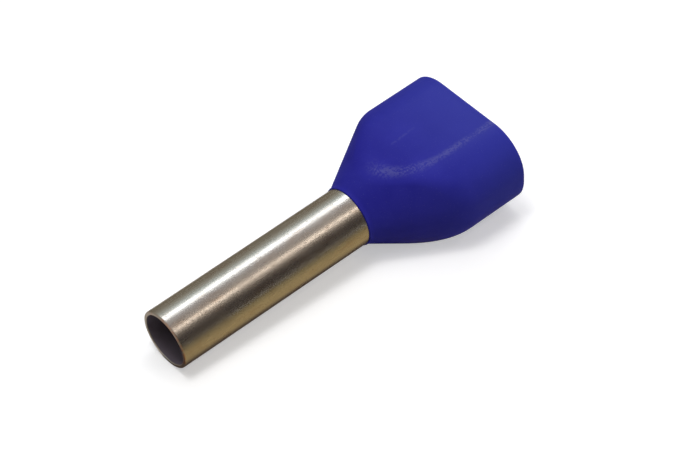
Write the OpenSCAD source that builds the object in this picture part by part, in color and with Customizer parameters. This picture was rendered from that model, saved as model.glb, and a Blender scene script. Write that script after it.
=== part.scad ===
// Twin wire ferrule: a plated copper sleeve with a moulded collar for two insulated wires.
// The sleeve's axis is X. The origin is where the sleeve leaves the collar, the sleeve's free
// end points to -X and the collar's mouth opens to +X. The broad flats of the collar face Z.

/* [Sleeve] */
// Inside diameter of the sleeve, the bore that the bare strands fill
sleeve_bore = 2.9; // [2.6:0.05:3.1]
// Wall of the sleeve
sleeve_wall = 0.2; // [0.15:0.01:0.25]
// Length of the sleeve in front of the collar
sleeve_reach = 12; // [8:0.1:18]
// Depth to which the sleeve is held inside the collar, up to the rim of its bell mouth
sleeve_seat = 2.8; // [2.2:0.1:3]
// How much the held part of the sleeve widens on the radius, so that the collar can't slip off
grip_taper = 0.03; // [0.01:0.01:0.05]
// Length of the bell mouth at the sleeve's inner end
bell_length = 0.6; // [0.4:0.05:0.8]
// How far the bell mouth opens, measured on the radius
bell_flare = 0.32; // [0.2:0.02:0.4]
// Rounding of the outer edge of the sleeve's free end
tip_round = 0.08; // [0.04:0.01:0.1]
// Rounding of the inner edge of the sleeve's free end
tip_break = 0.04; // [0.02:0.01:0.04]

/* [Collar] */
// Length of the collar from its front lip to its mouth
collar_length = 8.45; // [7.5:0.05:11]
// Inside width of the mouth, two wires side by side
mouth_width = 7.8; // [7:0.1:8.4]
// Inside height of the mouth, one wire
mouth_height = 4.2; // [4:0.1:4.6]
// Radius of the mouth's inside corners
mouth_corner = 1.85; // [1.5:0.05:1.95]
// Wall of the collar at its mouth
collar_wall = 0.35; // [0.3:0.05:0.5]
// Thickness of the front lip, where the collar ends on the sleeve
lip_wall = 0.07; // [0.05:0.01:0.15]
// Length of the thin neck between the front lip and the flare
neck_length = 0.2; // [0.1:0.05:0.4]
// Radius of the hollow blend between the neck and the flare
neck_round = 0.5; // [0.1:0.1:0.6]
// Slope of the flared outside, measured from the axis
flare_angle = 30.4; // [28:0.2:36]
// Radius of the moulded blend between the flare and the straight part
shoulder_round = 1.4; // [0.6:0.1:1.6]
// Rounding of the outer edge of the mouth's rim
rim_round = 0.1; // [0.05:0.01:0.2]
// Slope of the funnel that leads the strands into the sleeve, measured from the axis
funnel_angle = 45; // [40:1:55]

/* [Fineness] */
// Steps around each rounded corner of the moulded skin
corner_steps = 16; // [6:2:20]
// Steps across half of each broad flat of the moulded skin
flat_steps = 8; // [3:1:12]
// Steps along the neck's blend
neck_steps = 3; // [1:1:6]
// Steps along the shoulder's blend
blend_steps = 8; // [4:1:12]
// Steps around the rim's rounding
rim_steps = 4; // [2:1:6]

/* [Hidden] */
$fn = 96;
past = 1;                                   // how far a cutting shape runs past what it cuts

sleeve_r = sleeve_bore / 2 + sleeve_wall;   // outside radius of the sleeve
bell_start = sleeve_seat - bell_length;     // where the bell mouth begins
grip_r = sleeve_r + grip_taper;             // outside radius where the bell mouth begins
bell_r = grip_r + bell_flare;               // outside radius of the bell mouth's rim
outer_width = mouth_width + 2 * collar_wall;
outer_height = mouth_height + 2 * collar_wall;
lip_r = sleeve_r + lip_wall;                // outside radius of the front lip
funnel_end = sleeve_seat + (mouth_width / 2 - bell_r) / tan(funnel_angle);

// Turns a shape drawn about Z so that its axis is X
module along_x() rotate([0, 90, 0]) children();

// Extrudes a section drawn as (Y, Z) from x = from to x = to
module section_along_x(from, to)
    translate([from, 0, 0]) rotate([90, 0, 90]) linear_extrude(to - from) children();

// What has to go from a square corner to round it: the corner is at the origin, its material
// at +X, +Y
module corner_waste(radius)
    difference() {
        translate([-past, -past]) square(radius + past);
        translate([radius, radius]) circle(radius);
    }

// Half section of the sleeve, drawn as (radius, place along the axis)
module sleeve_section()
    difference() {
        polygon([
            [sleeve_r - sleeve_wall, -sleeve_reach],
            [sleeve_r, -sleeve_reach],
            [sleeve_r, 0],
            [grip_r, bell_start],
            [bell_r, sleeve_seat],
            [bell_r - sleeve_wall, sleeve_seat],
            [grip_r - sleeve_wall, bell_start],
            [sleeve_r - sleeve_wall, 0]
        ]);
        translate([sleeve_r, -sleeve_reach]) mirror([1, 0]) corner_waste(tip_round);
        translate([sleeve_r - sleeve_wall, -sleeve_reach]) corner_waste(tip_break);
    }

module sleeve()
    color([0.72, 0.69, 0.62])
    along_x() rotate_extrude() sleeve_section();

// Outline of the collar's straight part as (Y, Z) points. A quarter runs from the middle of a
// narrow side, round its corner, to the middle of a broad flat, and is mirrored three times.
function collar_outline() =
    let (
        corner_r = mouth_corner + collar_wall,
        at = [outer_width / 2 - corner_r, outer_height / 2 - corner_r],
        corner = [for (i = [0 : corner_steps])
            let (turn = 90 * i / corner_steps)
            at + corner_r * [cos(turn), sin(turn)]],
        flat = [for (i = [1 : flat_steps - 1]) [at.x * (1 - i / flat_steps), outer_height / 2]],
        quarter = concat([[outer_width / 2, 0]], corner, flat),
        next_quarter = concat([[0, outer_height / 2]],
            [for (i = [len(quarter) - 1 : -1 : 1]) [-quarter[i].x, quarter[i].y]])
    )
    concat(quarter, next_quarter, -quarter, -next_quarter);

// Profile of the skin in the plane through the axis and one outline point at radius r_end, as
// (X, radius) points: the front lip, the neck, the flare, the straight part and the rounded
// rim. The neck, the flare and the straight part run into each other through arcs that touch
// both of their neighbours.
function skin_profile(r_end) =
    let (
        flare_length = (r_end - lip_r) / tan(flare_angle),
        neck_r = min(neck_round, 0.9 * neck_length / tan(flare_angle / 2)),
        neck_x = neck_length - neck_r * tan(flare_angle / 2),
        arc_r = min(shoulder_round, 0.9 * flare_length / tan(flare_angle / 2)),
        arc_x = neck_length + flare_length + arc_r * tan(flare_angle / 2),
        neck = [for (i = [0 : neck_steps])
            let (slope = flare_angle * i / neck_steps)
            [neck_x + neck_r * sin(slope), lip_r + neck_r * (1 - cos(slope))]],
        blend = [for (i = [0 : blend_steps])
            let (slope = flare_angle * (1 - i / blend_steps))
            [arc_x - arc_r * sin(slope), r_end - arc_r * (1 - cos(slope))]],
        rim = [for (i = [0 : rim_steps])
            let (turn = 90 * i / rim_steps)
            [collar_length - rim_round * (1 - sin(turn)), r_end - rim_round * (1 - cos(turn))]]
    )
    concat([[0, lip_r]], neck, blend, rim);

// Outer skin of the collar as a solid: one profile for every point of the outline, joined into
// rings, so that a round neck runs into an oval mouth
module collar_skin() {
    outline = collar_outline();
    profiles = [for (p = outline) skin_profile(norm(p))];
    around = len(outline);
    rings = len(profiles[0]);
    points = [for (ring = [0 : rings - 1]) for (i = [0 : around - 1])
        let (at = profiles[i][ring], way = outline[i] / norm(outline[i]))
        [at.x, at.y * way.x, at.y * way.y]];
    sides = [for (ring = [0 : rings - 2]) for (i = [0 : around - 1])
        let (
            a = ring * around + i,
            b = ring * around + (i + 1) % around
        )
        each [[a, a + around, b], [b, a + around, b + around]]];
    front = [for (i = [0 : around - 1]) i];
    back = [for (i = [around - 1 : -1 : 0]) (rings - 1) * around + i];
    polyhedron(points, concat([front], sides, [back]));
}

// Section of the space inside the mouth, drawn as (Y, Z): a rectangle with round corners
module mouth_section() {
    at = [mouth_width / 2 - mouth_corner, mouth_height / 2 - mouth_corner];
    square([2 * at.x, mouth_height], center = true);
    square([mouth_width, 2 * at.y], center = true);
    for (side = [-1, 1], top = [-1, 1])
        translate([side * at.x, top * at.y]) circle(mouth_corner);
}

// Where the sleeve sits: a neck that follows its held part and a seat for its bell mouth
module sleeve_seat_space()
    along_x() rotate_extrude() polygon([
        [0, -past],
        [sleeve_r, -past],
        [sleeve_r, 0],
        [grip_r, bell_start],
        [bell_r, sleeve_seat],
        [0, sleeve_seat]
    ]);

// Where the wires go: the straight mouth, closed in front by the funnel down to the bell mouth
module wire_space()
    intersection() {
        section_along_x(sleeve_seat, collar_length + past) mouth_section();
        along_x() rotate_extrude() polygon([
            [0, sleeve_seat],
            [bell_r, sleeve_seat],
            [mouth_width / 2, funnel_end],
            [mouth_width / 2 + past, funnel_end],
            [mouth_width / 2 + past, collar_length + 2 * past],
            [0, collar_length + 2 * past]
        ]);
    }

module collar()
    color([0.16, 0.15, 0.56])
    difference() {
        collar_skin();
        sleeve_seat_space();
        wire_space();
    }

sleeve();
collar();
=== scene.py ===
import math

import bpy
import numpy as np
from mathutils import Matrix, Vector


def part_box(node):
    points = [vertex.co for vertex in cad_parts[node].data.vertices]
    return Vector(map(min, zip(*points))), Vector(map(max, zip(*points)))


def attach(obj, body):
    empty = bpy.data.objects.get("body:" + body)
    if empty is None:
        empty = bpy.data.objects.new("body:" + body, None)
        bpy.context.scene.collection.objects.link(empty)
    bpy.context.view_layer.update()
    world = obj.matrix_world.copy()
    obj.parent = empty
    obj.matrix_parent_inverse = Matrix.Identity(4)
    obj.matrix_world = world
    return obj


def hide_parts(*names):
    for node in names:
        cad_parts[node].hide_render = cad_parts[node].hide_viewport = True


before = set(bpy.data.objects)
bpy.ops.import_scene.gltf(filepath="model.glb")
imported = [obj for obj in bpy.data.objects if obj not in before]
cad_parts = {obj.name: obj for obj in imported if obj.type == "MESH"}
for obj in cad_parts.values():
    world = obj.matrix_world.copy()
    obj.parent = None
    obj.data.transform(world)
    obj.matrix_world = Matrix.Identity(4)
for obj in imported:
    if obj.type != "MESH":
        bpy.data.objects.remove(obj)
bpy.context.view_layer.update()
mm = 0.001
print("frame loaded:", ", ".join(sorted(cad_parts)))


def putInScene(name, data):
    made = bpy.data.objects.new(name, data)
    bpy.context.scene.collection.objects.link(made)
    return made


# Quads over a grid of points that closes on itself both ways, as on a ring
def ringMesh(name, points):
    rows, columns = points.shape[:2]
    row, column = np.meshgrid(np.arange(rows), np.arange(columns), indexing="ij")
    nextRow, nextColumn = (row + 1) % rows, (column + 1) % columns
    quads = np.stack([row * columns + column, row * columns + nextColumn,
                      nextRow * columns + nextColumn, nextRow * columns + column], axis=-1)
    mesh = bpy.data.meshes.new(name)
    mesh.vertices.add(rows * columns)
    mesh.vertices.foreach_set("co", points.reshape(-1).astype(np.float32))
    mesh.loops.add(quads.size)
    mesh.loops.foreach_set("vertex_index", quads.reshape(-1).astype(np.int32))
    mesh.polygons.add(rows * columns)
    mesh.polygons.foreach_set("loop_start", np.arange(0, quads.size, 4, dtype=np.int32))
    mesh.polygons.foreach_set("use_smooth", np.ones(rows * columns, dtype=bool))
    mesh.update(calc_edges=True)
    mesh.validate()
    return putInScene(name, mesh)


# A value in a node tree, so that shader maths reads as plain arithmetic
class Wire:
    def __init__(self, finish, socket):
        self.finish, self.socket = finish, socket

    def maths(self, operation, *values):
        return self.finish.node("ShaderNodeMath", {"operation": operation}, dict(enumerate(values)))

    def __add__(self, other):
        return self.maths("ADD", self, other)

    def __radd__(self, other):
        return self.maths("ADD", other, self)

    def __sub__(self, other):
        return self.maths("SUBTRACT", self, other)

    def __rsub__(self, other):
        return self.maths("SUBTRACT", other, self)

    def __mul__(self, other):
        return self.maths("MULTIPLY", self, other)

    def __rmul__(self, other):
        return self.maths("MULTIPLY", other, self)

    def __truediv__(self, other):
        return self.maths("DIVIDE", self, other)

    def __rtruediv__(self, other):
        return self.maths("DIVIDE", other, self)

    def __pow__(self, other):
        return self.maths("POWER", self, other)

    def __abs__(self):
        return self.maths("ABSOLUTE", self)


# A node tree that is being built: node() makes every node, the rest is shorthand for it
class Finish:
    def __init__(self, tree):
        self.tree = tree
        tree.nodes.clear()

    def node(self, kind, settings=None, values=None, output=0):
        made = self.tree.nodes.new(kind)
        for name, setting in (settings or {}).items():
            setattr(made, name, setting)
        for name, value in (values or {}).items():
            if isinstance(value, Wire):
                self.tree.links.new(value.socket, made.inputs[name])
            else:
                made.inputs[name].default_value = value
        return Wire(self, made.outputs[output]) if made.outputs else made

    def place(self):
        return self.node("ShaderNodeTexCoord", output="Object")

    def axis(self, name):
        return self.node("ShaderNodeSeparateXYZ", values={0: self.place()}, output=name)

    # Noise whose cells are size metres across. Stretch makes them longer along X, Y or Z, and a
    # span makes them a mask that rises from 0 to 1 between these two levels of the noise.
    def noise(self, size, stretch=(1, 1, 1), detail=3, roughness=0.5, offset=(0, 0, 0), span=None):
        scaled = self.node("ShaderNodeMapping", values={
            "Vector": self.place(), "Location": offset,
            "Scale": [1 / (size * longer) for longer in stretch]})
        cells = self.node("ShaderNodeTexNoise", values={
            "Vector": scaled, "Scale": 1, "Detail": detail, "Roughness": roughness})
        return self.step(cells, *span) if span else cells

    # Rises from 0 to 1 while value goes from low to high, with soft ends
    def step(self, value, low, high, kind="SMOOTHSTEP"):
        return self.node("ShaderNodeMapRange", {"interpolation_type": kind},
                         {"Value": value, "From Min": low, "From Max": high})

    # The same in a straight line
    def ramp(self, value, low, high):
        return self.step(value, low, high, kind="LINEAR")

    def mix(self, factor, first, second):
        return self.node("ShaderNodeMix", {"data_type": "RGBA"},
                         {0: factor, 6: first, 7: second}, output=2)


def colour(shade):
    return (*shade, 1)


def grey(level):
    return colour([level] * 3)


sleeve = {
    "bore": 2.9 * mm,
    "wall": 0.2 * mm,
    "gripTaper": 0.03 * mm,       # the held part widens by this, so that the collar can't slip
    "bellLength": 0.6 * mm,
    "bellFlare": 0.32 * mm,
    "tipRound": 0.08 * mm,        # outer edge of the free end
    "tipBreak": 0.04 * mm,        # inner edge of the free end
    "around": 320,                # points in each ring
    "tipSteps": 9,                # rings on each rounded edge of the free end
    "reachRings": 80, "heldRings": 8, "rimRings": 2,
}
sleeveLow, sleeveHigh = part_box("sleeve")
sleeveRadius = sleeve["bore"] / 2 + sleeve["wall"]
seatDepth = sleeveHigh[0]
bellStart = seatDepth - sleeve["bellLength"]
gripRadius = sleeveRadius + sleeve["gripTaper"]
bellRadius = gripRadius + sleeve["bellFlare"]

collar = {
    "corner": 2.2 * mm,           # outside corners of the straight part
    "wall": 0.35 * mm,
    "lipWall": 0.07 * mm,
    "lipRound": 0.06 * mm,
    "neck": 0.2 * mm,             # from the lip to where the flare would begin without a blend
    "neckRound": 0.5 * mm,
    "flare": 30.4,                # degrees from the axis
    "shoulderRound": 2.4 * mm,
    "rimRound": 0.1 * mm,
    "rimInnerRound": 0.06 * mm,
    "funnel": 45,                 # degrees from the axis
    "funnelRound": 0.3 * mm,
    "blendShare": 0.9,            # how much of a short slope a blend may take
    "seatFront": 0.01 * mm,       # from the lip to where the seat's skin begins
    "seatGap": 0.006 * mm,        # keeps the seat's skin off the sleeve
    "arcSteps": 48, "flatSteps": 40, "sideSteps": 6,               # points in each ring
    "lipSteps": 5, "neckSteps": 9, "flareRings": 14, "shoulderSteps": 33, "straightRings": 30,
    "rimSteps": 9, "mouthRings": 20, "foldSteps": 9, "funnelRings": 12,
}
_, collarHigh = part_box("collar")
lipRadius = sleeveRadius + collar["lipWall"]
flare, funnel = math.radians(collar["flare"]), math.radians(collar["funnel"])


# Points of a rectangle with round corners, and the way out of it at each: the corner's centre
# stands still while the way out turns by a quarter, then slides along a straight side
def roundedRectangle(halfWidth, halfHeight, corner):
    across, up = halfWidth - corner, halfHeight - corner
    stops = np.arange(9)
    turnStops = np.radians([0, 90, 90, 180, 180, 270, 270, 360, 360])
    acrossStops = across * np.array([1, 1, -1, -1, -1, -1, 1, 1, 1])
    upStops = up * np.array([1, 1, 1, 1, -1, -1, -1, -1, 1])
    counts = [collar["arcSteps"], collar["flatSteps"], collar["arcSteps"], collar["sideSteps"]] * 2
    along = np.concatenate([k + np.arange(count) / count for k, count in enumerate(counts)])
    turn = np.interp(along, stops, turnStops)
    out = np.stack([np.cos(turn), np.sin(turn)], axis=-1)
    centre = np.stack([np.interp(along, stops, acrossStops),
                       np.interp(along, stops, upStops)], axis=-1)
    return centre + corner * out, out


# Arc that touches a slope and the level line that the slope runs into at x = cornerX, from the
# slope to the level: (x, radius) in rows. Its radius shrinks where the slope is too short.
def levelBlend(cornerX, radius, slopeLength, slope, arcRadius, steps):
    arc = np.minimum(arcRadius, collar["blendShare"] * slopeLength / math.tan(slope / 2))
    angle = slope * np.linspace(1, 0, steps)[:, None]
    x = cornerX + arc * math.tan(slope / 2) - arc * np.sin(angle)
    return x, radius - arc * (1 - np.cos(angle))


# Rows of points that run evenly from one row to another, with both ends left out
def between(first, last, steps):
    share = np.linspace(0, 1, steps + 2)[1:-1, None]
    return first * (1 - share) + last * share


# How far each point of an outline lies from the axis, and which way
def fromAxis(outline):
    radius = np.linalg.norm(outline, axis=1)
    return radius, outline / radius[:, None]


# Points at x and radius, each in its own way from the axis
def inWays(x, radius, ways):
    return np.stack([x, radius * ways[:, 0], radius * ways[:, 1]], axis=-1)


# Rings of the outside, with a profile in the plane through the axis for each point of the
# outline: the rounded lip, the hollow neck, the flare, the shoulder and the straight part
def collarOutside(outline):
    radius, ways = fromAxis(outline)
    ones = np.ones(len(outline))
    lipTurn = np.linspace(0, math.pi / 2, collar["lipSteps"])[:, None]
    lipX = collar["lipRound"] * (1 - np.cos(lipTurn)) * ones
    lipR = (lipRadius - collar["lipRound"] * (1 - np.sin(lipTurn))) * ones
    neckTurn = np.linspace(0, flare, collar["neckSteps"])[:, None]
    neckX = (collar["neck"] - collar["neckRound"] * (math.tan(flare / 2) - np.sin(neckTurn))) * ones
    neckR = (lipRadius + collar["neckRound"] * (1 - np.cos(neckTurn))) * ones
    slopeLength = (radius - lipRadius) / math.tan(flare)
    shoulderX, shoulderR = levelBlend(collar["neck"] + slopeLength, radius, slopeLength, flare,
                                      collar["shoulderRound"], collar["shoulderSteps"])
    rimStart = (collarHigh[0] - collar["rimRound"]) * ones
    x = np.concatenate([lipX, neckX, between(neckX[-1], shoulderX[0], collar["flareRings"]),
                        shoulderX, between(shoulderX[-1], rimStart, collar["straightRings"])])
    r = np.concatenate([lipR, neckR, between(neckR[-1], shoulderR[0], collar["flareRings"]),
                        shoulderR, np.tile(radius, (collar["straightRings"], 1))])
    return inWays(x, r, ways)


# Rings round the rim, by how deep each lies in the wall
def collarRim(outline, out):
    quarter = np.linspace(0, math.pi / 2, collar["rimSteps"])
    outerRound, innerRound = collar["rimRound"], collar["rimInnerRound"]
    x = np.concatenate([collarHigh[0] - outerRound * (1 - np.sin(quarter)),
                        collarHigh[0] - innerRound * (1 - np.cos(quarter))])
    depth = np.concatenate([outerRound * (1 - np.cos(quarter)),
                            collar["wall"] - innerRound * (1 - np.sin(quarter))])
    flat = outline[None] - depth[:, None, None] * out[None]
    return np.concatenate([np.broadcast_to(x[:, None, None], flat[..., :1].shape), flat], axis=-1)


# Rings of the inside, from the rim back: the mouth, the fold, the funnel, and the seat that
# follows the sleeve's bell mouth and its held part
def collarInside(inner):
    radius, ways = fromAxis(inner)
    ones = np.ones(len(inner))
    funnelLength = (radius - bellRadius) / math.tan(funnel)
    foldX, foldR = levelBlend(seatDepth + funnelLength, radius, funnelLength, funnel,
                              collar["funnelRound"], collar["foldSteps"])
    foldX, foldR = foldX[::-1], foldR[::-1]
    rimEnd = (collarHigh[0] - collar["rimInnerRound"]) * ones
    seatX = np.array([seatDepth, bellStart, 0.5 * bellStart, collar["seatFront"]])[:, None] * ones
    seatR = np.array([bellRadius, gripRadius, (gripRadius + sleeveRadius) / 2, sleeveRadius])
    seatR = (seatR + collar["seatGap"])[:, None] * ones
    x = np.concatenate([between(rimEnd, foldX[0], collar["mouthRings"]), foldX,
                        between(foldX[-1], seatX[0], collar["funnelRings"]), seatX])
    r = np.concatenate([np.tile(radius, (collar["mouthRings"], 1)), foldR,
                        between(foldR[-1], seatR[0], collar["funnelRings"]), seatR])
    return inWays(x, r, ways)


# The collar is one closed skin: along the outside, round the rim and back along the inside
def collarPoints():
    outline, out = roundedRectangle(collarHigh[1], collarHigh[2], collar["corner"])
    inner = outline - collar["wall"] * out
    return np.concatenate([collarOutside(outline), collarRim(outline, out), collarInside(inner)])


# The sleeve is a profile of (x, radius) points turned about the axis: round the free end, along
# the outside to the bell mouth, and back along the bore
def sleevePoints():
    bore, tipX = sleeve["bore"] / 2, sleeveLow[0]
    quarter = np.linspace(0, math.pi / 2, sleeve["tipSteps"])
    outerTip = np.stack([tipX + sleeve["tipRound"] * (1 - np.sin(quarter[::-1])),
                         sleeveRadius - sleeve["tipRound"] * (1 - np.cos(quarter[::-1]))], axis=-1)
    innerTip = np.stack([tipX + sleeve["tipBreak"] * (1 - np.sin(quarter)),
                         bore + sleeve["tipBreak"] * (1 - np.cos(quarter))], axis=-1)
    stops = [outerTip[-1], (0, sleeveRadius), (bellStart, gripRadius), (seatDepth, bellRadius),
             (seatDepth, bellRadius - sleeve["wall"]), (bellStart, gripRadius - sleeve["wall"]),
             (0, bore), innerTip[0]]
    reach, held, rim = sleeve["reachRings"], sleeve["heldRings"], sleeve["rimRings"]
    profile = [outerTip]
    for first, last, count in zip(stops, stops[1:], [reach, held, held, rim, held, held, reach]):
        profile += [between(np.array([first]), np.array([last]), count), np.array([last])]
    profile = np.concatenate(profile[:-1] + [innerTip])     # innerTip begins with the last stop
    turn = np.linspace(0, 2 * math.pi, sleeve["around"], endpoint=False)
    x = np.broadcast_to(profile[:, :1], (len(profile), len(turn)))
    return np.stack([x, profile[:, 1:] * np.cos(turn), profile[:, 1:] * np.sin(turn)], axis=-1)


collarShell = ringMesh("collarShell", collarPoints())
sleeveTube = ringMesh("sleeveTube", sleevePoints())
print("pieces made:", len(collarShell.data.polygons), "and", len(sleeveTube.data.polygons), "faces")


def newMaterial(name):
    material = bpy.data.materials.new(name)
    material.use_nodes = True
    return material, Finish(material.node_tree)


plastic = {
    "deep": (0.020, 0.0185, 0.265),
    "light": (0.027, 0.026, 0.315),
    "thin": (0.033, 0.040, 0.335),     # painted sheen: lighter and greener towards the mouth
    "thinFrom": 1.5 * mm,              # from the lip to where that begins
    "thinShow": 0.75,
    "tone": {"size": 2.2 * mm, "detail": 4, "span": (0.3, 0.7)},
    "grain": {"size": 0.045 * mm, "detail": 4, "roughness": 0.65},
    "mottle": {"size": 0.35 * mm, "detail": 5, "roughness": 0.6, "span": (0.35, 0.7)},
    "patch": {"size": 1.3 * mm, "detail": 2},
    "fine": {"size": 0.12 * mm, "detail": 3, "roughness": 0.65},
    "specks": {"size": 0.06 * mm, "detail": 1, "offset": (7, 3, 5), "span": (0.68, 0.76)},
    "grainHeight": 0.0022 * mm,
    "heights": {"mottle": 0.35, "rubbed": 0.6, "scratch": 0.8},    # shares of grainHeight
    "roughness": 0.62,
    "roughened": {"grain": 0.08, "mottle": 0.05},
    "mouthPolish": 0.20,               # how much the roughness of the flats drops there
    "flatEdge": (0.2 * mm, 0.02 * mm),  # off a flat at the first depth under it, on it at the second
    "specular": 0.08,
    "ior": 1.49,
    # the colour of wear and of the painted highlight along the flats' borders
    "wornAndHighlight": (0.24, 0.25, 0.40),
    "speckShow": 0.10,
}

# Partly rubbed wear in specks, partly a painted highlight along the flats' borders
rubbedAndHighlightLine = {
    "side": 0.19 * mm,                 # from a flat's long border inwards to the line
    "front": 0.38 * mm,                # from the shoulder's corner back to the line
    "rounding": 2.9 * mm,              # of the line's corner
    "narrow": 0.27 * mm,
    "broad": 0.34 * mm,                # what is added to narrow, by these shares
    "broadShares": {"patch": 0.35, "corner": 0.65},
    "cornerAt": 2.6 * mm,              # the line is broadest here, along X
    "cornerFade": (0.6 * mm, 2.2 * mm),
    "farEnd": 0.7 * mm,                # it has faded out here, along Y,
    "farFade": 1.3 * mm,               # over this length
    "rubbedSpan": (0.64, 0.76),        # levels of the fine noise and its patches
    "patchShare": 0.4,                 # how much the patches add to the fine specks
    "glow": 0.2,                       # painted highlight: how light the line is between its rubbed specks
    "show": 0.17,
}

scratch = {
    "start": (3.40 * mm, 0.52 * mm),
    "end": (5.50 * mm, 0.64 * mm),
    "width": 0.12 * mm,
    "startFade": 0.3 * mm,
    "endFade": 0.8 * mm,
    "brokenSpan": (0.35, 0.6),         # levels of the fine noise that break it
    "show": 0.08,
}


# The line follows the border of each broad flat, its long side and its curved shoulder, with
# the corner between them rounded off. Off the line's middle it fades in both directions. It is
# partly rubbed wear and partly a painted highlight, and is kept to the near side.
def lineOnFlats(finish, x, y, z, onFlat, patch):
    shoulderStart = collar["neck"] - lipRadius / math.tan(flare)
    reach = (y * y + z * z) ** 0.5
    shoulder = x - (reach / math.tan(flare)
                    + (shoulderStart + rubbedAndHighlightLine["front"] - rubbedAndHighlightLine["side"]))
    side = (collarHigh[1] - collar["corner"]) - abs(y)
    border = shoulder.maths("SMOOTH_MIN", shoulder, side, rubbedAndHighlightLine["rounding"])
    offLine = abs(border - rubbedAndHighlightLine["side"])
    corner = 1 - finish.step(abs(x - rubbedAndHighlightLine["cornerAt"]), *rubbedAndHighlightLine["cornerFade"])
    shares = rubbedAndHighlightLine["broadShares"]
    width = (rubbedAndHighlightLine["narrow"]
             + (shares["patch"] * patch + shares["corner"] * corner) * rubbedAndHighlightLine["broad"])
    # kept to the near side, where the painted highlight shows
    nearSide = finish.step(rubbedAndHighlightLine["farEnd"] - y, 0, rubbedAndHighlightLine["farFade"])
    return finish.step(1 - offLine / width, 0, 1) * onFlat * nearSide


# One fine, broken scratch along the upper flat, by how far a place lies off its straight line
def fineScratch(finish, x, y, z, fine):
    (fromX, fromY), (toX, toY) = scratch["start"], scratch["end"]
    slope = (toY - fromY) / (toX - fromX)
    offScratch = abs(y - (slope * (x - fromX) + fromY))
    return ((1 - finish.step(offScratch, 0, scratch["width"]))
            * finish.step(fine, *scratch["brokenSpan"])
            * finish.step(x, fromX, fromX + scratch["startFade"])
            * (1 - finish.step(x, toX - scratch["endFade"], toX))
            * finish.step(z, 0, collarHigh[2]))


def bluePlastic():
    material, finish = newMaterial("bluePlastic")
    x, y, z = (finish.axis(name) for name in "XYZ")
    tone, grain, mottle, patch, fine, specks = (
        finish.noise(**plastic[name])
        for name in ("tone", "grain", "mottle", "patch", "fine", "specks"))
    mouthward = finish.step(x, plastic["thinFrom"], collarHigh[0])
    onFlat = finish.step(abs(z), *(collarHigh[2] - depth for depth in plastic["flatEdge"]))
    line = lineOnFlats(finish, x, y, z, onFlat, patch)
    rubbed = line * finish.step(fine + rubbedAndHighlightLine["patchShare"] * patch, *rubbedAndHighlightLine["rubbedSpan"])
    scratched = fineScratch(finish, x, y, z, fine)

    base = finish.mix(tone, colour(plastic["deep"]), colour(plastic["light"]))
    # painted sheen: the colour turns lighter and greener towards the mouth
    base = finish.mix(plastic["thinShow"] * mouthward, base, colour(plastic["thin"]))
    # the line's glow is a painted highlight; its rubbed specks, the specks and the scratch are wear
    wornAndHighlight = (rubbedAndHighlightLine["show"] * (rubbedAndHighlightLine["glow"] * line + rubbed)
            + plastic["speckShow"] * specks + scratch["show"] * scratched)
    base = finish.mix(wornAndHighlight, base, colour(plastic["wornAndHighlight"]))

    heights, roughened = plastic["heights"], plastic["roughened"]
    bump = finish.node("ShaderNodeBump", values={
        "Height": (grain + heights["mottle"] * mottle + heights["rubbed"] * rubbed
                   - heights["scratch"] * scratched),
        "Strength": 1,
        "Distance": plastic["grainHeight"]})
    shader = finish.node("ShaderNodeBsdfPrincipled", values={
        "Base Color": base,
        "Roughness": (plastic["roughness"] - plastic["mouthPolish"] * mouthward * onFlat
                      + roughened["grain"] * (grain - 0.5) + roughened["mottle"] * (mottle - 0.5)),
        "Specular IOR Level": plastic["specular"],
        "IOR": plastic["ior"],
        "Normal": bump})
    finish.node("ShaderNodeOutputMaterial", values={"Surface": shader})
    return material


metal = {
    "tin": (0.60, 0.565, 0.50),
    "dull": (0.45, 0.40, 0.335),
    "dullShares": {"cloud": 0.4, "pits": 0.6},
    "stain": (0.47, 0.36, 0.27),
    "stainShow": 0.45,
    "film": (0.20, 0.165, 0.20),       # inside the bore
    "filmDulling": 0.85,               # how much less metallic it is
    "cut": (0.62, 0.56, 0.49),         # the cut end,
    "cutEdge": (0.02 * mm, 0.07 * mm),  # which fades into the plating between these depths
    "copper": (0.62, 0.34, 0.22),      # bare on parts of the cut end
    "copperShow": 0.75,
    "copperSpan": (0.5, 0.68),         # levels of its patches
    "coppery": 70,                     # how fast the cut turns to copper up and to -Y, per metre
    "lines": {"size": 0.03 * mm, "stretch": (60, 1, 1), "roughness": 0.6},
    "broadLines": {"size": 0.16 * mm, "stretch": (25, 1, 1)},
    "cloud": {"size": 1.1 * mm, "stretch": (2.2, 1, 1), "detail": 5, "roughness": 0.6,
              "span": (0.35, 0.75)},
    "speckle": {"size": 0.08 * mm, "stretch": (1.6, 1, 1), "roughness": 0.7},
    "stains": {"size": 0.55 * mm, "stretch": (3, 1, 1), "detail": 4, "offset": (3, 1, 8),
               "span": (0.5, 0.72)},
    "copperPatches": {"size": 0.25 * mm},
    "pitSpan": (0.54, 0.68),           # levels of the speckle
    "lineHeight": 0.0012 * mm,
    "broadHeight": 0.8,                # share of lineHeight
    "speckleHeight": 0.0027 * mm,
    "roughness": 0.25,
    "roughened": {"lines": 0.10, "cloud": 0.08, "pits": 0.1, "cut": 0.1, "film": 0.3},
    "rimEdge": (0.04 * mm, 0.01 * mm),  # depths in the bell mouth between which the film ends
    "wallEdge": 0.03 * mm,             # it fades over this much on each side of the wall's middle
}


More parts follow.
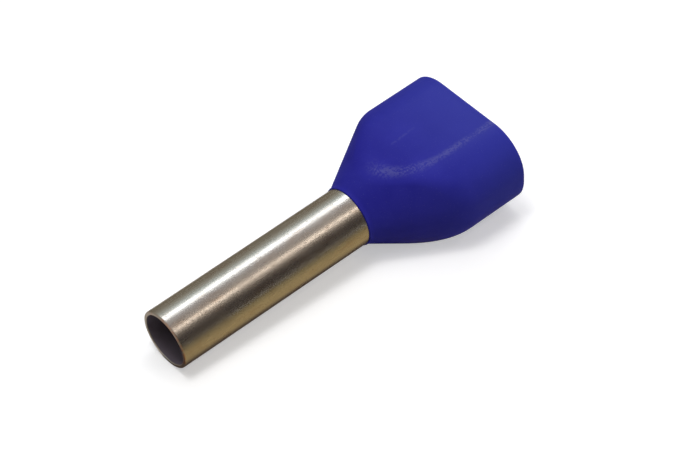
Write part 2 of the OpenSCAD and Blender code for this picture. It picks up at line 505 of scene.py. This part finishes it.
def tinnedCopper():
    material, finish = newMaterial("tinnedCopper")
    x, y, z = (finish.axis(name) for name in "XYZ")
    lines, broadLines, cloud, speckle, stains, patches = (
        finish.noise(**metal[name])
        for name in ("lines", "broadLines", "cloud", "speckle", "stains", "copperPatches"))
    pits = finish.step(speckle, *metal["pitSpan"])
    cut = 1 - finish.step(x, *(sleeveLow[0] + depth for depth in metal["cutEdge"]))
    bare = metal["copperShow"] * finish.step(patches + metal["coppery"] * (z - y),
                                             *metal["copperSpan"])

    # the film covers what lies nearer the axis than the middle of the wall
    wallMiddle = (sleeveRadius - sleeve["wall"] / 2
                  + sleeve["gripTaper"] * finish.step(x, 0, bellStart)
                  + sleeve["bellFlare"] * finish.ramp(x, bellStart, seatDepth))
    rim = finish.step(x, *(seatDepth - depth for depth in metal["rimEdge"]))
    film = (1 - cut) * (1 - rim) * finish.step(wallMiddle - (y * y + z * z) ** 0.5,
                                               -metal["wallEdge"], metal["wallEdge"])

    shares = metal["dullShares"]
    base = finish.mix(shares["cloud"] * cloud + shares["pits"] * pits,
                      colour(metal["tin"]), colour(metal["dull"]))
    base = finish.mix(metal["stainShow"] * stains, base, colour(metal["stain"]))
    base = finish.mix(cut, base, finish.mix(bare, colour(metal["cut"]), colour(metal["copper"])))
    base = finish.mix(film, base, colour(metal["film"]))

    roughened = metal["roughened"]
    bump = finish.node("ShaderNodeBump", values={
        "Height": (lines + metal["broadHeight"] * broadLines
                   + (metal["speckleHeight"] / metal["lineHeight"]) * speckle),
        "Strength": 1,
        "Distance": metal["lineHeight"]})
    shader = finish.node("ShaderNodeBsdfPrincipled", values={
        "Base Color": base,
        "Metallic": 1 - metal["filmDulling"] * film,
        "Roughness": (metal["roughness"] + roughened["lines"] * (lines - 0.5)
                      + roughened["cloud"] * cloud + roughened["pits"] * pits
                      + roughened["cut"] * cut + roughened["film"] * film),
        "Normal": bump})
    finish.node("ShaderNodeOutputMaterial", values={"Surface": shader})
    return material


collarShell.data.materials.append(bluePlastic())
sleeveTube.data.materials.append(tinnedCopper())
for piece, node, slot in [(collarShell, "collar", "blue_plastic"),
                          (sleeveTube, "sleeve", "tinned_copper")]:
    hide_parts(node)
    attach(piece, "root")
print("finishes made")


def meshPlaces(piece):
    places = np.empty(3 * len(piece.data.vertices), dtype=np.float32)
    piece.data.vertices.foreach_get("co", places)
    return places.reshape(-1, 3).astype(float)


# The way up from the floor that the part lies on: across the line that joins the lowest point
# of the sleeve's tip and the lowest point of the collar, seen along that same way. A few rounds
# settle it.
def restingUp(first, second, rounds=12):
    up = np.array([0.0, 0.0, 1.0])
    for _ in range(rounds):
        low, high = first[np.argmin(first @ up)], second[np.argmin(second @ up)]
        slope = math.atan2(high[2] - low[2], high[0] - low[0])
        up = np.array([-math.sin(slope), 0, math.cos(slope)])
    return up, float(low @ up)


floorUp, floorLevel = restingUp(meshPlaces(sleeveTube), meshPlaces(collarShell))
floorAlong = Vector((floorUp[2], 0, -floorUp[0]))
floorMiddle = Vector(floorUp) * floorLevel
oneFace = [(0, 1, 2, 3)]


# A card of the stage. One that is glossOnly shows in the part's gloss and nowhere else.
def stageCard(name, points, faces, material, glossOnly=True):
    mesh = bpy.data.meshes.new(name)
    mesh.from_pydata([tuple(point) for point in points], [], faces)
    mesh.materials.append(material)
    card = putInScene(name, mesh)
    if glossOnly:
        card.visible_camera = card.visible_diffuse = card.visible_shadow = False


# The rays that look at a surface; all others only carry soft light
def lookingRays(finish):
    return [finish.node("ShaderNodeLightPath", output=name)
            for name in ("Is Camera Ray", "Is Glossy Ray", "Is Transmission Ray")]


studio = {
    "floorHalf": 0.6,
    "floorWhite": 0.78,
    "floorBounce": 0.65,          # how much light the floor throws back on the part
    "floorLift": 0.44,            # the floor's glow for looking rays, beside the light on it
    "floorNear": 30 * mm,         # from here outwards the floor is lifted more,
    "floorFar": 110 * mm,         # and from here on to full white
    "ambient": 0.04,
}


def floorMaterial():
    material, finish = newMaterial("floorWhite")
    camera, glossy, through = lookingRays(finish)
    x, y = finish.axis("X"), finish.axis("Y")
    away = finish.step((x * x + y * y) ** 0.5, studio["floorNear"], studio["floorFar"])
    shade = finish.mix(camera, grey(studio["floorBounce"]), grey(studio["floorWhite"]))
    white = finish.node("ShaderNodeBsdfDiffuse", values={"Color": shade})
    lift = studio["floorLift"] + away * (1 - studio["floorLift"])
    lifted = finish.node("ShaderNodeEmission", values={
        "Strength": lift * (camera + glossy + through)})
    both = finish.node("ShaderNodeAddShader", values={0: white, 1: lifted})
    finish.node("ShaderNodeOutputMaterial", values={"Surface": both})
    return material


def cardMaterial(name, shade):
    material, finish = newMaterial(name)
    glow = finish.node("ShaderNodeEmission", values={"Color": colour(shade), "Strength": 1})
    finish.node("ShaderNodeOutputMaterial", values={"Surface": glow})
    return material


floorCorners = [floorMiddle + floorAlong * (studio["floorHalf"] * a)
                + Vector((0, studio["floorHalf"] * b, 0))
                for a, b in ((-1, -1), (1, -1), (1, 1), (-1, 1))]
stageCard("floor", floorCorners, oneFace, floorMaterial(), glossOnly=False)

# Cards round the part, as pieces of a barrel about its axis, that only show in its gloss:
# angles run from the far side (0) over the top (90) to the near side (180)
cards = [
    {"name": "backLowCard", "from": -1, "to": 18, "shade": (0.225, 0.195, 0.15)},
    {"name": "backCard", "from": 18, "to": 36, "shade": (0.355, 0.345, 0.30)},
    {"name": "backHighCard", "from": 36, "to": 68, "shade": (0.54, 0.62, 0.64)},
    {"name": "topFarCard", "from": 68, "to": 84, "shade": (0.41, 0.39, 0.42)},
    {"name": "topCard", "from": 84, "to": 106, "shade": (0.39, 0.35, 0.34)},
    {"name": "slopeCard", "from": 106, "to": 131, "shade": (0.42, 0.37, 0.33)},
    {"name": "slopeLowCard", "from": 131, "to": 142, "shade": (0.14, 0.115, 0.10)},
    {"name": "nearCard", "from": 142, "to": 181, "shade": (0.06, 0.05, 0.048)},
]
barrel = {"radius": 0.16, "low": -0.35, "high": 0.35, "steps": 12}
for card in cards:
    turn = np.radians(np.linspace(card["from"], card["to"], barrel["steps"] + 1))
    arc = np.stack([0 * turn, np.cos(turn), np.sin(turn)], axis=-1) * barrel["radius"]
    points = np.concatenate([arc + (barrel["low"], 0, 0), arc + (barrel["high"], 0, 0)])
    count = len(turn)
    faces = [(i, i + 1, count + i + 1, count + i) for i in range(barrel["steps"])]
    stageCard(card["name"], points, faces, cardMaterial(card["name"], card["shade"]))

# The barrel's two open ends are closed by bands, from one height to another
bands = [
    {"name": "bandLow", "from": 0, "to": 0.028, "shade": (0.15, 0.13, 0.11)},
    {"name": "bandMiddle", "from": 0.028, "to": 0.046, "shade": (0.42, 0.40, 0.37)},
    {"name": "bandBright", "from": 0.046, "to": 0.07, "shade": (0.85, 0.85, 0.82)},
    {"name": "bandHigh", "from": 0.07, "to": 0.16, "shade": (0.38, 0.36, 0.34)},
]
for band in bands:
    material = cardMaterial(band["name"], band["shade"])
    for end, x in (("Tip", barrel["low"]), ("Mouth", barrel["high"])):
        points = [(x, barrel["radius"] * side, height) for side, height in
                  ((-1, band["from"]), (1, band["from"]), (1, band["to"]), (-1, band["to"]))]
        stageCard(band["name"] + end, points, oneFace, material)

# Strips of a tan cloth over the floor, from y to y, that only show in the gloss; the two under
# and beside the part are darkened as painted shadow
strips = [
    {"name": "clothBack", "from": 160 * mm, "to": 7 * mm, "shade": (0.19, 0.16, 0.115)},
    {"name": "clothBehind", "from": 7 * mm, "to": 0.5 * mm, "shade": (0.46, 0.43, 0.39)},
    # painted shadow: a dark strip under the part, then its lighter edge
    {"name": "paintedShadowUnder", "from": 0.5 * mm, "to": -1.8 * mm, "shade": (0.065, 0.047, 0.042)},
    {"name": "clothShadowEdge", "from": -1.8 * mm, "to": -2.25 * mm, "shade": (0.24, 0.19, 0.12)},
    {"name": "clothNear", "from": -2.25 * mm, "to": -6 * mm, "shade": (0.44, 0.335, 0.175)},
    {"name": "clothMiddle", "from": -6 * mm, "to": -12 * mm, "shade": (0.34, 0.27, 0.145)},
    {"name": "clothFar", "from": -12 * mm, "to": -30 * mm, "shade": (0.20, 0.165, 0.10)},
    {"name": "clothEnd", "from": -30 * mm, "to": -160 * mm, "shade": (0.11, 0.09, 0.07)},
]
cloth = {"lift": 0.02 * mm, "half": 0.12}
clothPlace = floorMiddle + Vector(floorUp) * cloth["lift"]
for strip in strips:
    points = [clothPlace + floorAlong * (cloth["half"] * a) + Vector((0, y, 0)) for a, y in
              ((-1, strip["from"]), (1, strip["from"]), (1, strip["to"]), (-1, strip["to"]))]
    stageCard(strip["name"], points, oneFace, cardMaterial(strip["name"], strip["shade"]))

# Turn is a lamp's angle, measured like a card's, and lean is how far along X its way goes for
# each metre of distance. Each lamp faces the origin.
lamps = [
    {"name": "keyLamp", "turn": 60, "lean": 0.417, "distance": 0.13,
     "wide": 0.16, "high": 0.027, "radiance": 3.4, "tint": (0.97, 1, 1.1), "gloss": True},
    {"name": "warmLamp", "turn": 117, "lean": 0.417, "distance": 0.14,
     "wide": 0.16, "high": 0.016, "radiance": 2.4, "tint": (1, 0.88, 0.8), "gloss": True},
    {"name": "overheadLamp", "turn": 88, "lean": -0.12, "distance": 0.15,
     "wide": 0.03, "high": 0.03, "radiance": 18, "tint": (1, 1, 1), "gloss": False},
    {"name": "wideLamp", "turn": 86, "lean": -0.08, "distance": 0.15,
     "wide": 0.15, "high": 0.08, "radiance": 2.5, "tint": (1, 1, 1), "gloss": False},
    {"name": "sideLamp", "turn": 158, "lean": 0.58, "distance": 0.15,
     "wide": 0.06, "high": 0.07, "radiance": 3.0, "tint": (1, 1, 1), "gloss": False},
]
for lamp in lamps:
    light = bpy.data.lights.new(lamp["name"], "AREA")
    light.shape = "RECTANGLE"
    light.size, light.size_y = lamp["wide"], lamp["high"]
    light.energy = lamp["radiance"] * math.pi * lamp["wide"] * lamp["high"]
    light.color = lamp["tint"]
    holder = putInScene(lamp["name"], light)
    turn, upright = math.radians(lamp["turn"]), math.sqrt(1 - lamp["lean"] ** 2)
    way = Vector((lamp["lean"], upright * math.cos(turn), upright * math.sin(turn)))
    acrossWay = (Vector((1, 0, 0)) - way * way.x).normalized()
    turned = Matrix((acrossWay, way.cross(acrossWay), way)).transposed().to_4x4()
    holder.matrix_world = Matrix.Translation(way * lamp["distance"]) @ turned
    holder.visible_camera = False
    holder.visible_glossy = lamp["gloss"]

world = bpy.data.worlds.new("studio")
bpy.context.scene.world = world
world.use_nodes = True
sky = Finish(world.node_tree)
skyCamera, skyGlossy, skyThrough = lookingRays(sky)
skyShade = sky.mix(skyCamera + skyGlossy + skyThrough, grey(studio["ambient"]), grey(1))
skyGlow = sky.node("ShaderNodeBackground", values={"Color": skyShade, "Strength": 1})
sky.node("ShaderNodeOutputWorld", values={"Surface": skyGlow})

view = {
    "aim": (0.2 * mm, 0, 0),
    "azimuth": -38.2337, "elevation": 47.6304, "distance": 132.2997 * mm,
    "lens": 132.57, "sensor": 36, "shiftX": -0.00134, "shiftY": -0.01418,
    "clipNear": 1 * mm, "clipFar": 10,
}
azimuth, elevation = math.radians(view["azimuth"]), math.radians(view["elevation"])
back = Vector((math.sin(azimuth) * math.cos(elevation), -math.cos(azimuth) * math.cos(elevation),
               math.sin(elevation)))
right = Vector(floorUp).cross(back).normalized()
camera = putInScene("camera", bpy.data.cameras.new("camera"))
camera.matrix_world = (Matrix.Translation(Vector(view["aim"]) + back * view["distance"])
                       @ Matrix((right, back.cross(right), back)).transposed().to_4x4())
camera.data.lens = view["lens"]
camera.data.sensor_width = view["sensor"]
camera.data.shift_x, camera.data.shift_y = view["shiftX"], view["shiftY"]
camera.data.clip_start, camera.data.clip_end = view["clipNear"], view["clipFar"]
bpy.context.scene.camera = camera
bpy.context.scene.view_settings.view_transform = "Standard"
print("floor, light and camera set")
